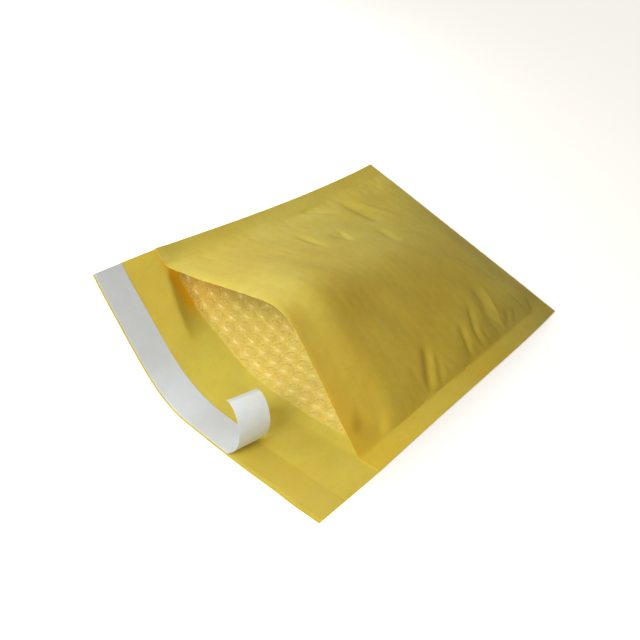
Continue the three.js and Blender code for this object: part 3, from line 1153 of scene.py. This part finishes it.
@dataclass(frozen=True)
class SiliconePaper(Finish):
    """Glassine release paper coated with silicone: smooth cool white with a satin shine."""

    name: str = "silicone_release_paper"
    colour: str = "#e3efff"
    cloud: str = "#d7e4fd"
    roughness: float = 0.38
    cloud_mm: float = 9.0
    cloud_depth_mm: float = 0.15
    glow: float = 0.8
    glow_scale: float = 0.4

    def dress(self, tree: Tree, shader: Node, flat: Node) -> None:
        """Sets the shader, the cloudy look of glassine and its slight waviness.

        Args:
            tree: The material's nodes.
            shader: Its Principled shader.
            flat: Place on the flat cut, in metres.
        """
        noise = {"Vector": flat, "Scale": per_metre(self.cloud_mm), "Detail": 4.0}
        cloud = add_node(tree, "TexNoise", noise)
        mixed = {MIX_SHARE: cloud, MIX_A: linear(self.colour), MIX_B: linear(self.cloud)}
        relief = {"Height": cloud, "Strength": 0.3, "Distance": self.cloud_depth_mm * MM}
        # Thin paper lets light through, so the shaded side of the curl stays light
        set_inputs(
            tree,
            shader,
            {
                "Base Color": add_node(tree, "Mix", mixed, data_type="RGBA").outputs[MIX_RESULT],
                "Roughness": self.roughness,
                "Normal": add_node(tree, "Bump", relief),
                "Specular IOR Level": 0.5,
                "Subsurface Weight": self.glow,
                "Subsurface Radius": (1.0, 1.0, 1.0),
                "Subsurface Scale": self.glow_scale * MM,
            },
        )


@dataclass
class MeshParts:
    """Vertices, faces and flat places of a mesh while it is put together.

    Attributes:
        sharp_degrees: Edges that turn more than this are shaded sharp.
    """

    points: list[Array] = field(default_factory=list)
    flat: list[Array] = field(default_factory=list)
    faces: list[Array] = field(default_factory=list)
    finishes: list[Array] = field(default_factory=list)
    count: int = 0
    sharp_degrees: float = 50.0

    def add(self, points: Array, flat: Array, faces: Array, finishes: Array | int = 0) -> None:
        """Adds some vertices and the faces between them.

        Args:
            points: Vertices, one per row.
            flat: Place of each on the flat cut.
            faces: Vertex numbers of each face, counted from these vertices' own first one.
            finishes: Number of each face's material.
        """
        self.points.append(points.reshape(-1, 3))
        self.flat.append(flat.reshape(-1, 2))
        self.faces.append(faces + self.count)
        self.finishes.append(np.broadcast_to(finishes, len(faces)))
        self.count += len(self.points[-1])

    def add_solid(self, lower: Array, upper: Array, s: Array, v: Array, upper_finish: int = 0) -> None:
        """Adds a closed sheet between two grids of points.

        Args:
            lower: Grid on the outer side of the pocket.
            upper: Grid on the inner side.
            s: Flat place across of each point of the grid.
            v: Flat place along of each point.
            upper_finish: Number of the inner side's material. The rest has the first one.
        """
        rows, columns = lower.shape[:2]
        low = np.arange(rows * columns).reshape(rows, columns)
        high = low + rows * columns
        quads = [
            (high[:-1, :-1], high[:-1, 1:], high[1:, 1:], high[1:, :-1]),
            (low[:-1, :-1], low[1:, :-1], low[1:, 1:], low[:-1, 1:]),
            (low[:-1, 0], high[:-1, 0], high[1:, 0], low[1:, 0]),
            (low[:-1, -1], low[1:, -1], high[1:, -1], high[:-1, -1]),
            (low[0, :-1], low[0, 1:], high[0, 1:], high[0, :-1]),
            (low[-1, :-1], high[-1, :-1], high[-1, 1:], low[-1, 1:]),
        ]
        faces = np.concatenate([np.stack(corner, -1).reshape(-1, 4) for corner in quads])
        flat = np.stack(np.broadcast_arrays(s, v), -1).reshape(-1, 2)
        both = np.concatenate([lower.reshape(-1, 3), upper.reshape(-1, 3)])
        on_upper = np.arange(len(faces)) < (rows - 1) * (columns - 1)
        self.add(both, np.concatenate([flat, flat]), faces, np.where(on_upper, upper_finish, 0))

    def build(self, name: str) -> Object:
        """Makes the Blender object.

        Args:
            name: Name of the piece.

        Returns:
            The object, linked to the scene, with its flat places as a UV map.
        """
        mesh = bpy.data.meshes.new(name)
        faces = [face for group in self.faces for face in group.tolist()]
        mesh.from_pydata((np.concatenate(self.points) * MM).tolist(), [], faces)
        corners = np.zeros(len(mesh.loops), int)
        mesh.loops.foreach_get("vertex_index", corners)
        flat = np.concatenate(self.flat) * MM
        mesh.uv_layers.new(name=FLAT_MAP).data.foreach_set("uv", flat[corners].ravel())
        mesh.polygons.foreach_set("material_index", np.concatenate(self.finishes))
        mesh.shade_smooth()
        mesh.set_sharp_from_angle(angle=math.radians(self.sharp_degrees))
        mesh.validate()
        made = bpy.data.objects.new(name, mesh)
        bpy.context.scene.collection.objects.link(made)
        return made


@dataclass
class EnvelopePiece:
    """A piece of the envelope that stands for a node of the construction model."""

    sheet: Sheet
    node: str = ""
    slot: str = ""
    casts_shadow: bool = True

    def mesh(self) -> MeshParts:
        """Makes the piece's mesh. Each piece has its own."""
        raise NotImplementedError

    def make(self, *finishes: bpy.types.Material) -> Object:
        """Builds the piece, dresses it and ties it to the construction model.

        Args:
            finishes: Materials of the piece, in the order of its faces' numbers.

        Returns:
            The finished object.
        """
        made = self.mesh().build(f"{self.node}_look")
        for finish in finishes:
            made.data.materials.append(finish)
        made.visible_shadow = self.casts_shadow
        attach(made, "root")
        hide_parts(self.node)
        LOG.info("%s: %d faces", made.name, len(made.data.polygons))
        return made


@dataclass
class OuterPaper(EnvelopePiece):
    """The kraft paper: flap, back panel, fold, front panel and side margins in one folded sheet.

    Its first material is the glazed outside, and its second the unglazed inside.
    """

    node: str = "outer_paper"
    slot: str = "kraft_paper"

    def mesh(self) -> MeshParts:
        """Makes the closed sheet from the whole grid.

        Returns:
            The mesh, in millimetres.
        """
        sheet = self.sheet
        depth = sheet.normals * sheet.cut.paper_thickness / 2
        parts = MeshParts()
        parts.add_solid(sheet.points - depth, sheet.points + depth, *np.meshgrid(sheet.s, sheet.v), 1)
        return parts


@dataclass
class BubbleLining(EnvelopePiece):
    """The bubble film: a flat backing film, and a formed film with the bubbles towards the contents.

    Attributes:
        bubbles: Sizes of the bubbles.
        film_step: Spacing of the backing's grid.
        backing_thickness: Thickness of the backing film.
        backing_rise: How far above it the formed film starts.
        ring_shares: Radii of the rings round a bubble's top, as shares of its own.
        ring_heights: Heights of those rings, as shares of its own.
        least_room: Least height of a bubble, and what stays free between two that meet.
        most_lean: Most that one side of a bubble stands above the other, as a share.
        least_fullness: Height of the slackest bubble, as a share.
        seed: Start of the chance values.
    """

    node: str = "bubble_lining"
    slot: str = "bubble_film"
    casts_shadow: bool = False
    bubbles: BubbleSizes = BubbleSizes()
    film_step: float = 4.0
    backing_thickness: float = 0.06
    backing_rise: float = 0.02
    ring_shares: tuple[float, ...] = (0.55, 0.82, 0.95, 1.0)
    ring_heights: tuple[float, ...] = (0.97, 0.86, 0.5, 0.05)
    least_room: float = 0.25
    most_lean: float = 0.12
    least_fullness: float = 0.82
    seed: int = 11

    @property
    def half(self) -> float:
        """Half the width of the film."""
        return self.sheet.cut.inner_half - self.sheet.cut.film_seam_inset

    @property
    def ends(self) -> Range:
        """The v of the film's two ends."""
        cut = self.sheet.cut
        return cut.film_mouth_inset, float(cut.front(cut.film_mouth_inset))

    def mesh(self) -> MeshParts:
        """Makes the backing and one cell of film round each bubble.

        Returns:
            The mesh, in millimetres.
        """
        parts = MeshParts()
        across = stations([-self.half, self.half], self.film_step)
        s, v = np.meshgrid(across, stations(self.ends, self.film_step))
        offset = self.sheet.cut.film_offset
        lower = self.sheet.place(s, v, offset, lined=True)
        upper = self.sheet.place(s, v, offset + self.backing_thickness, lined=True)
        parts.add_solid(lower, upper, s, v)
        self._add_bubbles(parts)
        return parts

    def _add_bubbles(self, parts: MeshParts) -> None:
        """Adds the formed film: staggered six-sided cells, each with a round bubble in it.

        Args:
            parts: The lining's mesh.
        """
        start, end = self.ends
        pitch, row_pitch = self.bubbles.pitch, self.bubbles.row_pitch
        draw = np.random.default_rng(self.seed)
        columns = math.ceil(self.half / pitch) + 1
        for row in range(math.ceil((end - start) / row_pitch) + 1):
            for column in range(-columns, columns + 1):
                centre_s = column * pitch + pitch / 2 * (row % 2)
                if abs(centre_s) <= self.half + pitch / 2:
                    self._add_cell(parts, centre_s, start + row * row_pitch, draw)

    def _add_cell(self, parts: MeshParts, centre_s: float, centre_v: float, draw: Draw) -> None:
        """Adds one cell of the formed film, cut off at the film's edges.

        Args:
            parts: The lining's mesh.
            centre_s: Flat place across of the bubble's middle.
            centre_v: Its flat place along.
            draw: Source of the chance differences between the bubbles.
        """
        half, (start, end), sizes = self.half, self.ends, self.bubbles
        lean, lean_angle = draw.uniform(0, self.most_lean), draw.uniform(0, 2 * math.pi)
        fullness = draw.uniform(self.least_fullness, 1.0)
        angles = np.arange(sizes.sides) * 2 * math.pi / sizes.sides + math.pi / 6
        to_side = sizes.pitch / 2 / np.cos(np.mod(angles, math.pi / 3) - math.pi / 6)
        rings = [np.full(sizes.sides, share * sizes.diameter / 2) for share in self.ring_shares]
        radius = np.concatenate([[0.0], *rings, to_side])
        turn = np.concatenate([angles[:1], *[angles] * (len(rings) + 1)])
        height = np.concatenate([[1.0], np.repeat([*self.ring_heights, 0.0], sizes.sides)])
        rise = height * (1 + lean * np.cos(turn - lean_angle) * radius / sizes.diameter * 2)
        s, v = centre_s + radius * np.sin(turn), centre_v + radius * np.cos(turn)
        kept = (np.abs(s) <= half + ROUNDING) & (v >= start - ROUNDING) & (v <= end + ROUNDING)
        s, v = np.clip(s, -half, half), np.clip(v, start, end)
        offset = self.sheet.cut.film_offset + self.backing_thickness + self.backing_rise
        room = np.clip(self.sheet.room(s, v) - offset - self.least_room, self.least_room, sizes.height)
        points = self.sheet.place(s, v, offset + rise * fullness * room, lined=True)
        faces = self._cell_faces(sizes.sides, len(rings) + 1)
        faces = faces[kept[faces].any(axis=1)]
        if len(faces):
            parts.add(points, np.stack([s, v], -1), faces)

    def _cell_faces(self, sides: int, rings: int) -> Array:
        """Numbers the triangles of one cell: a fan in the middle and a band between each two rings.

        Args:
            sides: Points on a ring.
            rings: How many rings there are.

        Returns:
            Vertex numbers of each triangle.
        """
        step = np.arange(sides)
        following = (step + 1) % sides
        faces = [np.stack([np.zeros(sides, int), 1 + following, 1 + step], -1)]
        for ring in range(rings - 1):
            inner, outer = 1 + ring * sides, 1 + (ring + 1) * sides
            faces.append(np.stack([inner + step, inner + following, outer + step], -1))
            faces.append(np.stack([inner + following, outer + following, outer + step], -1))
        return np.concatenate(faces)


@dataclass
class SeamGlue(EnvelopePiece):
    """A hot-melt line between the paper margins, with the wavy edges of a pressed bead.

    Attributes:
        side: -1 for the far seam, 1 for the near one.
        edge_inset: Distance from the paper's edge.
        inner_inset: Distance from the padded panel.
        mouth_inset: Distance from the mouth line.
        fold_inset: Distance from the fold.
        wave_length: Length of the waves in its edges.
        wave_depth: Height of the waves.
        bead_step: Spacing of the rows.
        bead_columns: Number of columns.
    """

    slot: str = "hot_melt"
    side: int = 1
    edge_inset: float = 2.0
    inner_inset: float = 3.0
    mouth_inset: float = 0.4
    fold_inset: float = 4.0
    wave_length: float = 9.0
    wave_depth: float = 0.7
    bead_step: float = 2.5
    bead_columns: int = 7

    def mesh(self) -> MeshParts:
        """Makes the flat bead from the mouth nearly to the fold.

        Returns:
            The mesh, in millimetres.
        """
        cut = self.sheet.cut
        v = stations([self.mouth_inset, cut.pocket_length - self.fold_inset], self.bead_step)[:, None]
        share = np.linspace(0, 1, self.bead_columns)[None, :]
        wave = self.wave_depth * np.sin(2 * math.pi * v / self.wave_length)
        outer = cut.half_width - self.edge_inset - np.abs(wave)
        inner = cut.inner_half + self.inner_inset + wave
        s = lerp(inner, outer, share) if self.side > 0 else -lerp(outer, inner, share)
        v = np.broadcast_to(v, s.shape)
        lower = self.sheet.place(s, v, cut.film_offset)
        upper = self.sheet.place(s, v, cut.film_offset + cut.glue_thickness)
        parts = MeshParts()
        parts.add_solid(lower, upper, s, v)
        return parts


@dataclass
class FlapStrip(EnvelopePiece):
    """What the strips on the flap share: where they lie and how wide they are."""

    edge_inset: float = 1.0
    adhesive_width: float = 18.0
    adhesive_thickness: float = 0.1
    liner_width: float = 21.0
    liner_thickness: float = 0.1
    strip_step: float = 2.0

    @property
    def outer(self) -> float:
        """The liner's edge next to the flap's free edge."""
        return -self.sheet.cut.flap_length + self.edge_inset

    @property
    def inner(self) -> float:
        """The liner's edge towards the mouth."""
        return self.outer + self.liner_width


@dataclass
class FlapAdhesive(FlapStrip):
    """The clear adhesive band across the flap, thinner along its edges.

    Attributes:
        end_inset: How far it stops short of the envelope's sides.
        edge_width: Width over which its edges thin out.
        edge_share: Thickness at the edge, as a share of the whole.
    """

    node: str = "flap_adhesive"
    slot: str = "clear_adhesive"
    end_inset: float = 0.3
    edge_width: float = 0.5
    edge_share: float = 0.35

    def mesh(self) -> MeshParts:
        """Makes the band.

        Returns:
            The mesh, in millimetres.
        """
        cut = self.sheet.cut
        inset = (self.liner_width - self.adhesive_width) / 2
        low, high = self.outer + inset, self.inner - inset
        half = cut.half_width - self.end_inset
        along = stations([low, low + self.edge_width, high - self.edge_width, high], self.strip_step)
        s, v = np.meshgrid(stations([-half, half], self.strip_step), along)
        inward = smoothstep(np.minimum(v - low, high - v), 0, self.edge_width)
        rise = self.adhesive_thickness * lerp(self.edge_share, 1, inward)
        parts = MeshParts()
        lower = self.sheet.place(s, v, cut.film_offset)
        parts.add_solid(lower, self.sheet.place(s, v, cut.film_offset + rise), s, v)
        return parts


@dataclass
class ReleaseLiner(FlapStrip):
    """The release liner: flat on the adhesive up to the peel line, then a free end that curls back.

    Attributes:
        end_inset: How far the liner's end stops short of the near edge when it is stuck down.
        peel_at: Where its outer edge lifts.
        peel_lag: How much further along its inner edge lifts.
        curl_start: Direction in which it lifts off, in radians above the flap.
        curl_end_outer: Direction of the outer edge at the end of the curl.
        curl_end_inner: Direction of the inner edge at the end of the curl.
        curl_tightening: How much the curl tightens towards its end.
        curl_step: Spacing of the columns in the curl.
    """

    node: str = "release_liner"
    slot: str = "silicone_paper"
    end_inset: float = 20.2
    peel_at: float = 45.1
    peel_lag: float = 2.8
    curl_start: float = 0.586
    curl_end_outer: float = 3.99
    curl_end_inner: float = 4.1
    curl_tightening: float = 1.41
    curl_step: float = 1.0

    def mesh(self) -> MeshParts:
        """Makes the stuck length and the curl as one strip.

        Returns:
            The mesh, in millimetres.
        """
        cut = self.sheet.cut
        half = self.liner_thickness / 2
        height = cut.film_offset + self.adhesive_thickness + cut.sheet_clearance + half
        along = stations([self.outer, self.inner], self.strip_step)
        s, v = np.meshgrid(stations([-cut.half_width, self.peel_at], self.strip_step), along)
        stuck = self.sheet.place(s, v, height)
        free_length = cut.half_width - self.end_inset - self.peel_at
        lag = self.peel_lag * (along - self.outer)[:, None] / self.liner_width
        free = stations([0, 1], self.curl_step / free_length) * (free_length - lag)
        whole = np.concatenate([stuck[:, :-1], self._curl(stuck, along, free, lag)], axis=1)
        whole_s = np.concatenate([s[:, :-1], self.peel_at + lag + free], axis=1)
        depth = grid_normals(whole) * half
        parts = MeshParts()
        parts.add_solid(whole - depth, whole + depth, whole_s, along[:, None])
        return parts

    def _curl(self, stuck: Array, along: Array, free: Array, lag: Array) -> Array:
        """Rolls the free end up about lines that run along the peel line.

        Args:
            stuck: Points of the stuck length.
            along: Flat place along the cut of each of its rows.
            free: Distances along the free end, for each row.
            lag: How much further along each row lifts than the outer edge.

        Returns:
            Points of the free end.
        """
        lean = math.atan2(self.peel_lag, self.liner_width)
        rolled = free * math.cos(lean)
        share = (along - self.outer)[:, None] / self.liner_width
        curl_end = lerp(self.curl_end_outer, self.curl_end_inner, share)
        headings = lerp(self.curl_start, curl_end, (rolled / rolled.max()) ** self.curl_tightening)
        ahead, up = trace(rolled, headings)
        last = stuck[:, -1:]
        forward = unit(last - stuck[:, -2:-1])
        normal = self.sheet.read(self.sheet.normals, np.full(along.shape, self.peel_at), along)[:, None]
        inward = np.cross(normal, forward)
        line = forward * math.sin(lean) + inward * math.cos(lean)
        away = forward * math.cos(lean) - inward * math.sin(lean)
        lift = last + forward * lag[..., None]
        sideways = (free * math.sin(lean))[..., None]
        return lift + line * sideways + away * ahead[..., None] + normal * up[..., None]


def aim(azimuth: float, elevation: float) -> Vector:
    """Returns the direction at an azimuth from the x axis and an elevation above the floor, in degrees."""
    turn, rise = math.radians(azimuth), math.radians(elevation)
    return Vector((math.cos(turn) * math.cos(rise), math.sin(turn) * math.cos(rise), math.sin(rise)))


@dataclass(frozen=True)
class Lamp:
    """A round soft lamp that is turned to the envelope.

    Attributes:
        name: Its name.
        azimuth: Direction of the lamp from the envelope, in degrees from the x axis.
        elevation: Its height over the floor, in degrees.
        size: Diameter.
        watts: Power.
        colour: Colour of its light.
    """

    name: str
    azimuth: float
    elevation: float
    size: float
    watts: float
    colour: str

    def place(self, target: Vector, distance: float) -> None:
        """Makes the lamp.

        Args:
            target: What it is turned to, in metres.
            distance: How far away it is, in metres.
        """
        away = aim(self.azimuth, self.elevation)
        data = bpy.data.lights.new(self.name, "AREA")
        data.shape = "DISK"
        data.size = self.size * MM
        data.energy = self.watts
        data.color = linear(self.colour)[:3]
        lamp = bpy.data.objects.new(self.name, data)
        lamp.location = target + away * distance
        lamp.rotation_mode = "QUATERNION"
        lamp.rotation_quaternion = away.to_track_quat("Z", "Y")
        bpy.context.scene.collection.objects.link(lamp)


@dataclass
class Studio:
    """Pale floor, soft lamps and the camera that took the photograph.

    Attributes:
        azimuth: Direction of the camera from its target, in degrees from the -y axis.
        elevation: Its height over the floor, in degrees.
        roll: How far it is turned about its own axis, in degrees.
        focal_px: Focal length in pixels of the photograph.
        image_px: Width of the photograph in pixels.
        sensor: Width of the sensor.
        target: Place that the camera and the lamps are turned to.
        distance: How far the camera is from it.
        floor_glow: Light that the floor adds where the camera sees it, so that it is white.
        lamps: The soft lamps, most of them on the side of the mouth.
    """

    azimuth: float = 29.47
    elevation: float = 51.5
    roll: float = 20.29
    focal_px: float = 499.7
    image_px: int = 640
    sensor: float = 36.0
    clip_start: float = 10.0
    target: tuple[float, float, float] = (-5.16, -26.82, 0.1)
    distance: float = 403.4
    floor_size: float = 8000.0
    floor_colour: str = "#e6e6e6"
    floor_glow: float = 0.77
    sky_strength: float = 0.15
    sky_colour: str = "#f4cf7c"
    lamp_distance: float = 600.0
    lamps: tuple[Lamp, ...] = (
        Lamp("key_lamp", 269.0, 41.0, 380.0, 2.9, "#fffdf8"),
        Lamp("window_lamp", 226.0, 27.0, 300.0, 0.7, "#eef3ff"),
        Lamp("side_lamp", 155.0, 24.0, 300.0, 0.7, "#fff8ea"),
    )

    def set_camera(self) -> None:
        """Makes the camera."""
        turn, rise, roll = (math.radians(a) for a in (self.azimuth, self.elevation, self.roll))
        back = Vector((math.sin(turn) * math.cos(rise), -math.cos(turn) * math.cos(rise), math.sin(rise)))
        level = Vector((math.cos(turn), math.sin(turn), 0))
        above = back.cross(level)
        right = level * math.cos(roll) + above * math.sin(roll)
        up = above * math.cos(roll) - level * math.sin(roll)
        data = bpy.data.cameras.new("photo_camera")
        data.sensor_width = self.sensor
        data.lens = self.focal_px * self.sensor / self.image_px
        data.clip_start = self.clip_start * MM
        camera = bpy.data.objects.new("photo_camera", data)
        place = Vector(self.target) * MM + back * self.distance * MM
        turned = Matrix((right, up, back)).transposed().to_4x4()
        camera.matrix_world = Matrix.Translation(place) @ turned
        bpy.context.scene.collection.objects.link(camera)
        bpy.context.scene.camera = camera

    def set_lamps(self) -> None:
        """Makes the soft lamps."""
        for lamp in self.lamps:
            lamp.place(Vector(self.target) * MM, self.lamp_distance * MM)

    def set_sky(self) -> None:
        """Makes the even light all round, which the camera sees as white."""
        world = bpy.data.worlds.new("studio")
        bpy.context.scene.world = world
        world.use_nodes = True
        tree = world.node_tree
        tree.nodes.clear()
        lit = add_node(tree, "Background", {"Color": linear(self.sky_colour), "Strength": self.sky_strength})
        white = add_node(tree, "Background", {"Color": linear("#ffffff"), "Strength": 1.0})
        mixed = add_node(tree, "MixShader", {0: self._seen(tree), 1: lit, 2: white})
        add_node(tree, "OutputWorld", {"Surface": mixed})

    def _seen(self, tree: Tree) -> Node:
        """Tells the rays that show the background itself: from the camera, off gloss or through film.

        Args:
            tree: Tree that gets the nodes.

        Returns:
            A node that gives 1 for such a ray and 0 for any other.
        """
        path = add_node(tree, "LightPath").outputs
        camera, gloss = path["Is Camera Ray"], path["Is Glossy Ray"]
        seen = add_node(tree, "Math", {0: camera, 1: gloss}, operation="MAXIMUM")
        return add_node(tree, "Math", {0: seen, 1: path["Is Transmission Ray"]}, operation="MAXIMUM")

    def set_floor(self) -> None:
        """Makes the pale floor. It glows a little for the camera, so that it is white round the shadow."""
        half = self.floor_size / 2 * MM
        mesh = bpy.data.meshes.new("floor")
        edges = [(-half, -half, 0), (half, -half, 0), (half, half, 0), (-half, half, 0)]
        mesh.from_pydata(edges, [], [(0, 1, 2, 3)])
        floor = bpy.data.objects.new("floor", mesh)
        bpy.context.scene.collection.objects.link(floor)
        made = bpy.data.materials.new("pale_floor")
        made.use_nodes = True
        tree = made.node_tree
        glow = add_node(tree, "Math", {0: self._seen(tree), 1: self.floor_glow}, operation="MULTIPLY")
        set_inputs(
            tree,
            tree.nodes["Principled BSDF"],
            {
                "Base Color": linear(self.floor_colour),
                "Roughness": 0.9,
                "Specular IOR Level": 0.1,
                "Emission Color": linear("#ffffff"),
                "Emission Strength": glow,
            },
        )
        mesh.materials.append(made)

    def make(self) -> None:
        """Makes the whole studio."""
        self.set_camera()
        self.set_lamps()
        self.set_sky()
        self.set_floor()
        bpy.context.scene.view_settings.view_transform = "Standard"
        LOG.info("studio ready")


def corners(bounds: tuple[Vector, Vector]) -> list[list[float]]:
    """Returns a box's two corners as plain lists."""
    return [list(corner) for corner in bounds]


def main() -> None:
    """Builds the envelope's pieces in order, and the studio round them."""
    logging.basicConfig(level=logging.INFO, format="%(name)s: %(message)s")
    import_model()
    bubbles = BubbleSizes()
    sheet = Sheet(FlatCut(), Bend())
    sheet.move_to(*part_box("outer_paper"))
    sheet.wrinkle(Wrinkles(), Padding(), bubbles)
    hot_melt = HotMelt().material()
    # Both papers carry painted shade in one patch: the glazed one on the front panel's near half, and the
    # unglazed one as deep gold at the far wall inside the mouth
    glazed = KraftPaper()
    unglazed = KraftPaper(
        "unglazed_kraft_paper",
        pale="#d8cb5c",
        warm="#ecc020",
        shade="#c4a83a",
        warm_drift=0.05,
        painted_shade_share=1.0,
        painted_shade_across=(-0.055, -0.08),
        painted_shade_along=(-0.003, 0.006),
        roughness=0.75,
    )
    OuterPaper(sheet).make(glazed.material(), unglazed.material())
    BubbleLining(sheet, bubbles=bubbles).make(BubbleFilm().material())
    SeamGlue(sheet, node="seam_glue_far", side=-1).make(hot_melt)
    SeamGlue(sheet, node="seam_glue_near", side=1).make(hot_melt)
    FlapAdhesive(sheet).make(ClearAdhesive().material())
    ReleaseLiner(sheet).make(SiliconePaper().material())
    Studio().make()


if __name__ == "__main__":
    main()
